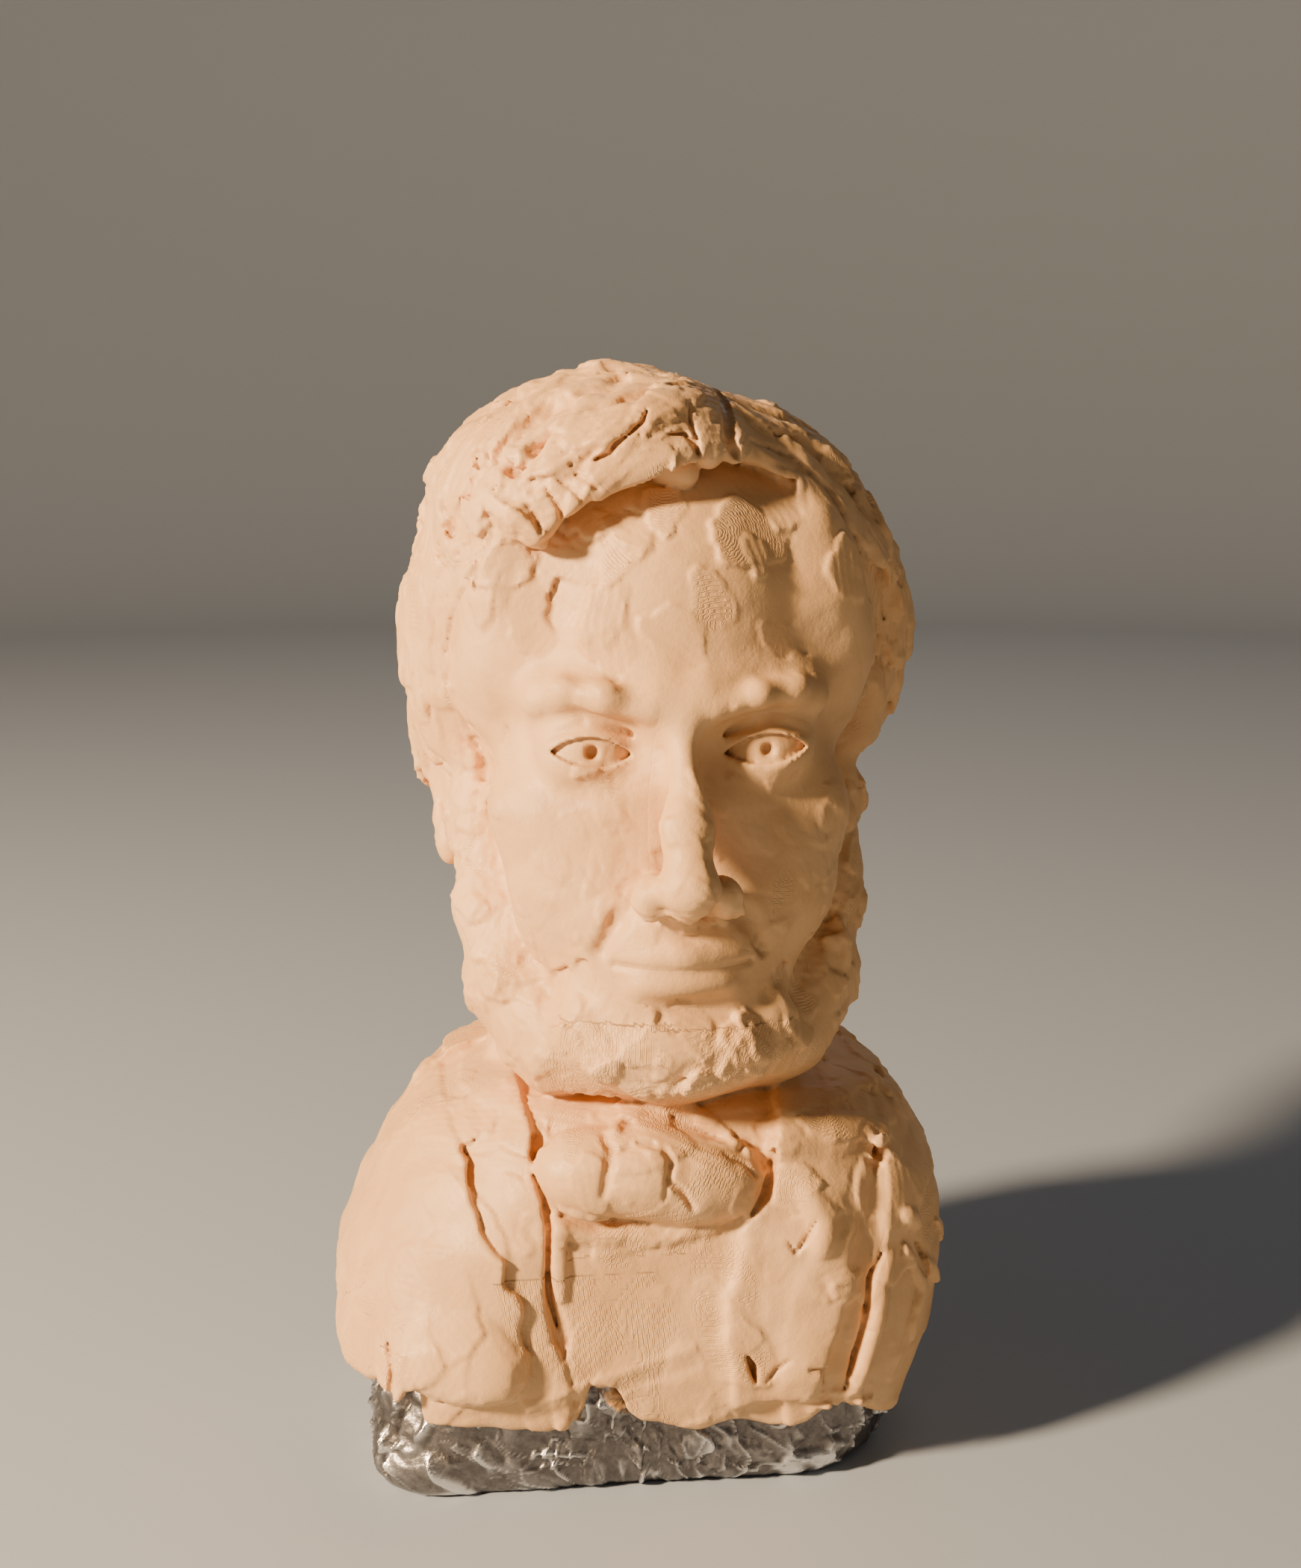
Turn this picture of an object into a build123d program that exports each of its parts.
"""A hand-modelled clay bust on a foil-wrapped block: armature, clay masses and clay details.

Each piece is its own solid. Frame: millimetres, +Z up. The face looks along -Y, so +X is the sitter's left.
The origin is the centre of the flat underside. Heights on the head count from the chin, and depths from the
line between the ears.
"""
import math
import os

from build123d import *

# ---------------------------------------------------------------- driving dimensions: armature
HEAD_X = 3.0  # the head stands this far to +X of the block's centre
HEAD_Y = 1.3  # the line between the ears
CHIN_Z = 62.0  # underside of the bare chin
HEAD_H = 85.0  # bare head, chin to crown
POST_R = 4.0  # wooden dowel that carries the head
POST_BOTTOM, POST_TOP = 14.0, 118.0
NECK_X, NECK_Y = 1.5, 3.0
# Sections of the neck: height, half width, half depth, shift in y.
NECK_SECTIONS = [
    (54, 14.6, 14.6, 0.0),
    (63, 15.6, 15.8, 0.5),
    (76, 18.5, 18.5, 2.0),
    (90, 21.5, 20.0, 4.0),
]
NECK_BOTTOM = 54.0
FOIL_T = 0.9  # the wrap is several sheets of foil

# Horizontal sections of the foil block: height, half width, half depth, corner radius.
FOIL_SECTIONS = [
    (0, 37.0, 25.0, 9.0),
    (4, 38.4, 26.5, 10.5),
    (14, 39.2, 27.0, 14.0),
    (28, 39.2, 27.0, 17.0),
    (40, 35.4, 25.0, 17.0),
    (48, 29.6, 21.5, 16.0),
    (54, 21.0, 17.0, 13.0),
]
HEAD_CORE_SECTIONS = [
    (14, 9.0, 9.0, -2.0),
    (26, 16.0, 19.0, -1.0),
    (44, 20.5, 25.5, 0.5),
    (62, 20.0, 24.5, 1.0),
    (75, 8.0, 10.0, 1.5),
]

# ---------------------------------------------------------------- driving dimensions: dress
CLAY_BOTTOM = 12.0  # front edge of the clay above the table
CLAY_FOOT = (39.0, 27.0, 14.0)  # the foil's half width, half depth and corner radius there
BACK_CLAY_BOTTOM = 27.0  # the foil stays bare below this at the back
SIDE_SEAM_Y = 8.0  # front slabs meet the back slab here
UNDERCOAT_T = 2.4  # clay skin pressed on the foil
COAT_T = 4.6  # top of the coat slabs above the foil
FRONT_REACH = 60.0  # front cutters reach this far forward
COLLAR_R, COLLAR_TOP = 17.6, 62.0
COAT_COLLAR_R, COAT_COLLAR_Z = 21.0, 59.5
COAT_COLLAR_T, COAT_COLLAR_H = 3.2, 4.6
COAT_COLLAR_FRONT_Y = -7.0

# Outlines of the coat's front slabs in the front view: x, z.
COAT_OUTLINES = {
    "sleeve_right": [
        (-29, 56), (-28, 52), (-26.6, 49), (-24.5, 45.5), (-24.2, 39.5), (-20.8, 36), (-19.6, 31.5),
        (-17.6, 24.5), (-17.4, 20.5), (-20, 16.8), (-28.5, 15.5), (-34, 18), (-38, 12), (-52, 12),
        (-52, 56),
    ],
    "lapel_right": [
        (-20.3, 62), (-18.6, 59), (-17.2, 51), (-15.4, 42.5), (-15.6, 35.5), (-16.4, 27.5),
        (-17.0, 23.0), (-17.6, 24.5), (-19.6, 31.5), (-20.8, 36), (-24.2, 39.5), (-24.5, 45.5),
        (-26.6, 49), (-28, 52), (-29, 62),
    ],
    "shirt_front": [
        (-14.2, 46), (-13.8, 35.5), (-13.4, 30), (-12.4, 24.8), (-11.6, 20.6), (0, 19.5), (9.6, 20),
        (9.0, 33), (10.6, 46),
    ],
    "lapel_left": [
        (19.2, 62), (17.4, 55), (16.5, 50), (14.9, 42.5), (10.9, 38), (9.3, 33), (9.9, 20), (13, 14.5),
        (24, 14.5), (25.9, 23.7), (27.6, 28.5), (24.6, 32.3), (25.7, 37.7), (28.5, 45.3), (30, 62),
    ],
    "coat_front_left": [
        (30, 62), (28.5, 45.3), (25.7, 37.7), (24.6, 32.3), (27.6, 28.5), (25.9, 23.7), (24, 14.5),
        (27.5, 13), (29.8, 20.8), (30.8, 27), (30.8, 33.2), (32, 62),
    ],
    "sleeve_left": [
        (32.6, 58), (31.5, 33.2), (31.5, 27), (30.5, 20.8), (28.4, 12), (54, 12), (54, 58),
    ],
}
# The cravat's bow: centre, half sizes.
BOW_LOBES = {
    "bow_knot": ((-2.0, -28.0, 46.8), (4.6, 5.6, 6.6)),
    "bow_right": ((-9.0, -26.8, 48.2), (7.8, 5.8, 5.8)),
    "bow_left": ((6.4, -27.0, 46.2), (8.2, 5.8, 6.2)),
}

# ---------------------------------------------------------------- driving dimensions: head
# Sections of the head: height, half width, half depth, centre y.
SKULL_SECTIONS = [
    (0, 9.0, 9.0, -24.0),
    (4, 14.5, 14.5, -19.5),
    (12, 20.0, 21.5, -13.0),
    (23, 24.5, 28.0, -6.5),
    (34, 27.0, 32.0, -2.5),
    (45, 28.5, 34.0, -0.5),
    (56, 29.5, 35.0, 0.5),
    (68, 27.5, 33.0, 1.0),
    (77, 21.0, 25.5, 1.5),
    (85, 7.0, 9.0, 2.0),
]
BEARD_SECTIONS = [
    (-5, 12.0, 11.0, -21.0),
    (0, 20.0, 18.5, -16.5),
    (8, 26.0, 25.5, -11.0),
    (17, 28.8, 30.5, -6.5),
    (29, 30.3, 33.5, -3.0),
    (42, 31.0, 35.0, -1.0),
]
HAIR_SECTIONS = [
    (24, 30.0, 31.0, 6.0),
    (38, 34.8, 36.0, 4.0),
    (52, 37.0, 38.5, 1.5),
    (63, 36.0, 38.8, 1.0),
    (73, 32.0, 35.0, 1.0),
    (81, 25.5, 28.5, 1.0),
    (87, 17.0, 20.0, 1.0),
    (91, 7.0, 9.0, 1.0),
]
# The hairline in the front view, from the sitter's right temple over the brow to the left: x, z.
FACE_OPENING = [
    (-27.5, 38), (-26, 51), (-25, 59), (-18, 67.5), (-14, 71.5), (-7.5, 74.5), (0.5, 77), (6, 77.5),
    (11.6, 76.5), (19, 72), (24.6, 65), (28, 51.5), (29.5, 42), (29.5, -20), (-27.5, -20),
]
EYE_SPACING = 0.27 * HEAD_H
EYE_Z = 0.5 * HEAD_H
EYEBALL_R = 0.052 * HEAD_H
EYEBALL_Y = -0.313 * HEAD_H
PUPIL_R, PUPIL_DEPTH = 1.1, 1.2
SOCKET_Y, SOCKET_HALF = -32.6, (6.4, 3.6, 4.6)
LID_T, LID_BACK_Y = 1.1, -27.5
UPPER_LID_Z, LOWER_LID_Z = 1.3, -1.5
BROW_X, BROW_Y, BROW_Z = 11.5, -31.0, 0.578 * HEAD_H
BROW_HALF, BROW_TILT, BROW_LEAN = (8.0, 2.6, 2.0), 5.0, 12.0
NOSE_SECTIONS = [
    (47, 2.4, 2.6, -33.6),
    (38, 3.4, 4.2, -35.2),
    (30, 4.8, 5.4, -37.0),
    (25.5, 6.3, 6.0, -38.0),
    (22.5, 4.6, 4.6, -36.8),
]
MOUTH_Z, LIP_Y = 0.175 * HEAD_H, -33.4
LIP_HALF, LIP_H = (9.2, 3.2, 2.1), 2.0
EAR_INNER_X, EAR_OUTER_X = 22.0, 31.6
EAR_Y, EAR_Z, EAR_HALF = 4.0, 33.5, (6.2, 10.5)
TEMPLE_Z, SIDEBURN_Y = 60.0, -10.0
PARTING_X = 8.0  # the hair is combed over from this parting
CROWN_Y = 12.0  # the top hair ends here and the back hair starts
SIDE_HAIR_BOTTOM, SIDE_HAIR_TOP = 36.0, 66.0
FORELOCK_Y = -8.0
# Separate locks pressed on at the hairline: centre, half sizes, tilt.
LOCKS = {
    "forelock_tip": ((-14.5, -31.0, 71.0), (8.5, 3.6, 4.2), 40.0),
    "forelock_curl": ((5.5, -27.5, 81.0), (5.5, 4.2, 3.8), -55.0),
}
MOUTH_OPENING_Z, MOUTH_OPENING_HALF = 30.5, (20.5, 22.5)
BEARD_BACK_Y = -3.0  # the whiskers stop in front of the ears
CHIN_BEARD_HALF_W = 15.0

CLAY = (0.85, 0.68, 0.52)
FOIL = (0.75, 0.75, 0.77)
WOOD = (0.75, 0.6, 0.4)
SIDES = {"right": -1, "left": 1}


def head_point(x, y, z):
    """A point given in the head's own measures, in the part's frame."""
    return (HEAD_X + x, HEAD_Y + y, CHIN_Z + z)


def torso_body(growth, sections):
    """A closed torso shape through rounded sections, grown sideways."""
    with BuildPart() as body:
        for height, half_x, half_y, corner in sections:
            with BuildSketch(Plane.XY.offset(height)):
                RectangleRounded(2 * (half_x + growth), 2 * (half_y + growth), corner + growth)
        loft()
    return body.part


def clay_sections(top_growth):
    """The foil's sections for a clay layer, from the clay's lower edge to a little over the foil's top."""
    lower = (CLAY_BOTTOM, *CLAY_FOOT)
    upper = [section for section in FOIL_SECTIONS if section[0] > CLAY_BOTTOM]
    top = (upper[-1][0] + top_growth, *upper[-1][1:])
    return [lower, *upper[:-1], top]


def head_body(sections):
    """A closed head-like shape lofted through ellipses."""
    with BuildPart() as body:
        for height, half_x, half_y, centre_y in sections:
            with BuildSketch(Plane.XY.offset(CHIN_Z + height)):
                with Locations((HEAD_X, HEAD_Y + centre_y)):
                    Ellipse(half_x, half_y)
        loft()
    return body.part


def lump(centre, half, tilt=0.0, lean=0.0):
    """An egg of clay through ellipses along X, tilted in the front view and leaned about Z."""
    across, around = math.radians(tilt), math.radians(lean)
    reach = math.cos(across)
    along = Vector(reach * math.cos(around), reach * math.sin(around), math.sin(across))
    sideways = Vector(-math.sin(around), math.cos(around), 0)
    with BuildPart() as body:
        for share in (-0.985, -0.8, -0.4, 0.0, 0.4, 0.8, 0.985):
            width = math.sqrt(1 - share * share)
            origin = Vector(*centre) + along * (share * half[0])
            with BuildSketch(Plane(origin=origin, x_dir=sideways, z_dir=along)):
                Ellipse(half[1] * width, half[2] * width)
        loft()
    return body.part


def block(low, high):
    """A cutting box between two corners."""
    with BuildPart() as body:
        with Locations(tuple((a + b) / 2 for a, b in zip(low, high))):
            Box(*(b - a for a, b in zip(low, high)))
    return body.part


def column(radius, bottom, top):
    """An upright cylinder on the neck's axis."""
    with BuildPart() as body:
        with BuildSketch(Plane.XY.offset(bottom)):
            with Locations((NECK_X, NECK_Y)):
                Circle(radius)
        extrude(amount=top - bottom)
    return body.part


def write(piece, name, colour):
    """Labels a finished piece and writes it as one STEP file."""
    piece.label = name
    piece.color = Color(*colour)
    export_step(piece, f"parts/{name}.step")


os.makedirs("parts", exist_ok=True)

# ---------------------------------------------------------------- shared shapes
foil_outer = torso_body(0, FOIL_SECTIONS)
foil_top = (FOIL_SECTIONS[-1][0] - FOIL_T, *FOIL_SECTIONS[-1][1:])
foil_inner = torso_body(-FOIL_T, [(FOIL_T, *FOIL_SECTIONS[0][1:]), *FOIL_SECTIONS[1:-1], foil_top])
undercoat_outer = torso_body(UNDERCOAT_T, clay_sections(UNDERCOAT_T))
coat_outer = torso_body(COAT_T, clay_sections(COAT_T + 1.0))
skull = head_body(SKULL_SECTIONS)
beard_outer = head_body(BEARD_SECTIONS)
hair_outer = head_body(HAIR_SECTIONS)
head_core_outer = head_body(HEAD_CORE_SECTIONS)
post = column(POST_R, POST_BOTTOM, POST_TOP)
collar_space = column(COLLAR_R, NECK_BOTTOM, COLLAR_TOP)
with BuildPart() as neck_space:
    for height, half_x, half_y, shift in NECK_SECTIONS:
        with BuildSketch(Plane.XY.offset(height)):
            with Locations((NECK_X, NECK_Y + shift)):
                Ellipse(half_x, half_y)
    loft()

# ---------------------------------------------------------------- armature
with BuildPart() as foil_core:
    add(foil_inner)
    add(post, mode=Mode.SUBTRACT)
write(foil_core.part, "foil_core", FOIL)

with BuildPart() as foil_wrap:
    add(foil_outer)
    add(foil_inner, mode=Mode.SUBTRACT)
    add(post, mode=Mode.SUBTRACT)
write(foil_wrap.part, "foil_wrap", FOIL)

write(post, "neck_post", WOOD)

with BuildPart() as head_core:
    add(head_core_outer)
    add(post, mode=Mode.SUBTRACT)
write(head_core.part, "head_core", FOIL)

# ---------------------------------------------------------------- torso clay
with BuildPart() as chest_clay:
    add(undercoat_outer)
    add(foil_outer, mode=Mode.SUBTRACT)
    add(collar_space, mode=Mode.SUBTRACT)
    split(bisect_by=Plane.XZ.offset(-SIDE_SEAM_Y), keep=Keep.TOP)
write(chest_clay.part, "chest_clay", CLAY)

with BuildPart() as coat_back:
    add(coat_outer)
    add(foil_outer, mode=Mode.SUBTRACT)
    add(collar_space, mode=Mode.SUBTRACT)
    split(bisect_by=Plane.XZ.offset(-SIDE_SEAM_Y), keep=Keep.BOTTOM)
    split(bisect_by=Plane.XY.offset(BACK_CLAY_BOTTOM), keep=Keep.TOP)
write(coat_back.part, "coat_back", CLAY)

with BuildPart() as coat_layer:
    add(coat_outer)
    add(undercoat_outer, mode=Mode.SUBTRACT)
    add(collar_space, mode=Mode.SUBTRACT)
    split(bisect_by=Plane.XZ.offset(-SIDE_SEAM_Y), keep=Keep.TOP)

for name, outline in COAT_OUTLINES.items():
    with BuildPart() as slab:
        add(coat_layer.part)
        with BuildSketch(Plane.XZ.offset(-SIDE_SEAM_Y)):
            with BuildLine():
                Polyline(*outline, close=True)
            make_face()
        extrude(amount=FRONT_REACH, mode=Mode.INTERSECT)
    write(slab.part, name, CLAY)

# ---------------------------------------------------------------- neck, collars and bow
with BuildPart() as neck_clay:
    add(neck_space.part)
    add(skull, mode=Mode.SUBTRACT)
    add(post, mode=Mode.SUBTRACT)
write(neck_clay.part, "neck_clay", CLAY)

with BuildPart() as shirt_collar:
    add(collar_space)
    add(neck_space.part, mode=Mode.SUBTRACT)
write(shirt_collar.part, "shirt_collar", CLAY)

with BuildPart() as coat_collar:
    with BuildSketch(Plane.XZ.offset(-NECK_Y)):
        with Locations((NECK_X + COAT_COLLAR_R, COAT_COLLAR_Z)):
            Ellipse(COAT_COLLAR_T, COAT_COLLAR_H)
    revolve(axis=Axis((NECK_X, NECK_Y, 0), (0, 0, 1)))
    split(bisect_by=Plane.XZ.offset(-COAT_COLLAR_FRONT_Y), keep=Keep.BOTTOM)
    add(coat_outer, mode=Mode.SUBTRACT)
    add(collar_space, mode=Mode.SUBTRACT)
write(coat_collar.part, "coat_collar", CLAY)

placed_before = [coat_outer, collar_space]
for name, (centre, half) in BOW_LOBES.items():
    egg = lump(centre, half)
    with BuildPart() as lobe:
        add(egg)
        for neighbour in placed_before:
            add(neighbour, mode=Mode.SUBTRACT)
    placed_before.append(lobe.part)
    write(lobe.part, name, CLAY)

# ---------------------------------------------------------------- head mass and eyes
eyes = {name: head_point(side * EYE_SPACING / 2, EYEBALL_Y, EYE_Z) for name, side in SIDES.items()}
sockets = [lump((x, HEAD_Y + SOCKET_Y, z), SOCKET_HALF) for x, _, z in eyes.values()]
with BuildPart() as head_clay:
    add(skull)
    for hollow in (head_core_outer, post, *sockets):
        add(hollow, mode=Mode.SUBTRACT)
    with Locations(*eyes.values()):
        Sphere(EYEBALL_R, mode=Mode.SUBTRACT)
write(head_clay.part, "head_clay", CLAY)

for side_name, side in SIDES.items():
    eye = eyes[side_name]
    with BuildPart() as eyeball:
        with Locations(eye):
            Sphere(EYEBALL_R)
        with BuildSketch(Plane.XZ.offset(-(eye[1] - EYEBALL_R + PUPIL_DEPTH))):
            with Locations((eye[0], eye[2])):
                Circle(PUPIL_R)
        extrude(amount=EYEBALL_R, mode=Mode.SUBTRACT)
    write(eyeball.part, f"eyeball_{side_name}", CLAY)

    for lid_name, edge_z, keep in (("upper", UPPER_LID_Z, Keep.TOP), ("lower", LOWER_LID_Z, Keep.BOTTOM)):
        with BuildPart() as lid:
            with Locations(eye):
                Sphere(EYEBALL_R + LID_T)
                Sphere(EYEBALL_R, mode=Mode.SUBTRACT)
            split(bisect_by=Plane.XY.offset(eye[2] + edge_z), keep=keep)
            split(bisect_by=Plane.XZ.offset(-(HEAD_Y + LID_BACK_Y)), keep=Keep.TOP)
            add(head_clay.part, mode=Mode.SUBTRACT)
        write(lid.part, f"{lid_name}_lid_{side_name}", CLAY)

    roll = lump(head_point(side * BROW_X, BROW_Y, BROW_Z), BROW_HALF, -side * BROW_TILT, side * BROW_LEAN)
    with BuildPart() as eyebrow:
        add(roll)
        add(skull, mode=Mode.SUBTRACT)
    write(eyebrow.part, f"eyebrow_{side_name}", CLAY)

with BuildPart() as nose:
    for height, half_x, half_y, centre_y in NOSE_SECTIONS:
        with BuildSketch(Plane.XY.offset(CHIN_Z + height)):
            with Locations((HEAD_X, HEAD_Y + centre_y)):
                Ellipse(half_x, half_y)
    loft()
    add(skull, mode=Mode.SUBTRACT)
write(nose.part, "nose", CLAY)

mouth_plane = Plane.XY.offset(CHIN_Z + MOUTH_Z)
for name, rise, keep in (("upper_lip", LIP_H / 2, Keep.TOP), ("lower_lip", -LIP_H / 2, Keep.BOTTOM)):
    roll = lump(head_point(0, LIP_Y, MOUTH_Z + rise), LIP_HALF)
    with BuildPart() as lip:
        add(roll)
        split(bisect_by=mouth_plane, keep=keep)
        add(skull, mode=Mode.SUBTRACT)
    write(lip.part, name, CLAY)

# ---------------------------------------------------------------- hair
with BuildPart() as hair_layer:
    add(hair_outer)
    add(skull, mode=Mode.SUBTRACT)
    add(neck_space.part, mode=Mode.SUBTRACT)
    with BuildSketch(Plane.XZ.offset(-(HEAD_Y + SIDEBURN_Y))):
        with BuildLine():
            Polyline(*[(HEAD_X + x, CHIN_Z + z) for x, z in FACE_OPENING], close=True)
        make_face()
    extrude(amount=FRONT_REACH, mode=Mode.SUBTRACT)
    with BuildSketch(Plane.YZ.offset(-FRONT_REACH)):
        with BuildLine():
            Polyline(
                (HEAD_Y + CROWN_Y, 0),
                (HEAD_Y + CROWN_Y, CHIN_Z + SIDE_HAIR_BOTTOM),
                (HEAD_Y + SIDEBURN_Y, CHIN_Z + SIDE_HAIR_BOTTOM),
                (HEAD_Y + SIDEBURN_Y, CHIN_Z + TEMPLE_Z - 6),
                (HEAD_Y + SIDEBURN_Y - 10, CHIN_Z + TEMPLE_Z + 4),
                (HEAD_Y - FRONT_REACH, CHIN_Z + TEMPLE_Z + 4),
                (HEAD_Y - FRONT_REACH, 0),
                close=True,
            )
        make_face()
    extrude(amount=2 * FRONT_REACH, mode=Mode.SUBTRACT)

FAR = 90.0  # beyond the head on every side
top_z, crown_y, forelock_y = CHIN_Z + SIDE_HAIR_TOP, HEAD_Y + CROWN_Y, HEAD_Y + FORELOCK_Y
parting_x = HEAD_X + PARTING_X
HAIR_REGIONS = {
    "hair_back": ((-FAR, crown_y, 0), (FAR, FAR, 2 * FAR)),
    "hair_side_right": ((-FAR, -FAR, 0), (HEAD_X, crown_y, top_z)),
    "hair_side_left": ((HEAD_X, -FAR, 0), (FAR, crown_y, top_z)),
    "hair_top_left": ((parting_x, -FAR, top_z), (FAR, crown_y, 2 * FAR)),
    "hair_crown": ((-FAR, forelock_y, top_z), (parting_x, crown_y, 2 * FAR)),
    "forelock": ((-FAR, -FAR, top_z), (parting_x, forelock_y, 2 * FAR)),
}
for name, corners in HAIR_REGIONS.items():
    region = block(*corners)
    with BuildPart() as lock:
        add(hair_layer.part)
        add(region, mode=Mode.INTERSECT)
    write(lock.part, name, CLAY)

for name, (centre, half, tilt) in LOCKS.items():
    roll = lump(head_point(*centre), half, tilt)
    with BuildPart() as lock:
        add(roll)
        add(skull, mode=Mode.SUBTRACT)
        add(hair_layer.part, mode=Mode.SUBTRACT)
    write(lock.part, name, CLAY)

# ---------------------------------------------------------------- beard and ears
with BuildPart() as beard_layer:
    add(beard_outer)
    for neighbour in (skull, collar_space, neck_space.part, coat_outer, coat_collar.part, hair_layer.part):
        add(neighbour, mode=Mode.SUBTRACT)
    split(bisect_by=Plane.XZ.offset(-(HEAD_Y + BEARD_BACK_Y)), keep=Keep.TOP)
    with BuildSketch(Plane.XZ.offset(-HEAD_Y)):
        with Locations((HEAD_X, CHIN_Z + MOUTH_OPENING_Z)):
            Ellipse(*MOUTH_OPENING_HALF)
    extrude(amount=FRONT_REACH, mode=Mode.SUBTRACT)

BEARD_REGIONS = {
    "beard_chin": (HEAD_X - CHIN_BEARD_HALF_W, HEAD_X + CHIN_BEARD_HALF_W),
    "whisker_right": (-FAR, HEAD_X - CHIN_BEARD_HALF_W),
    "whisker_left": (HEAD_X + CHIN_BEARD_HALF_W, FAR),
}
for name, (low_x, high_x) in BEARD_REGIONS.items():
    region = block((low_x, -FAR, 0), (high_x, FAR, 2 * FAR))
    with BuildPart() as whiskers:
        add(beard_layer.part)
        add(region, mode=Mode.INTERSECT)
    write(whiskers.part, name, CLAY)

for side_name, side in SIDES.items():
    with BuildPart() as ear:
        with BuildSketch(Plane.YZ.offset(HEAD_X + side * EAR_INNER_X)):
            with Locations((HEAD_Y + EAR_Y, CHIN_Z + EAR_Z)):
                Ellipse(*EAR_HALF)
        extrude(amount=side * (EAR_OUTER_X - EAR_INNER_X))
        split(bisect_by=Plane.XY.offset(CHIN_Z + SIDE_HAIR_BOTTOM), keep=Keep.BOTTOM)
        add(skull, mode=Mode.SUBTRACT)
    write(ear.part, f"ear_{side_name}", CLAY)
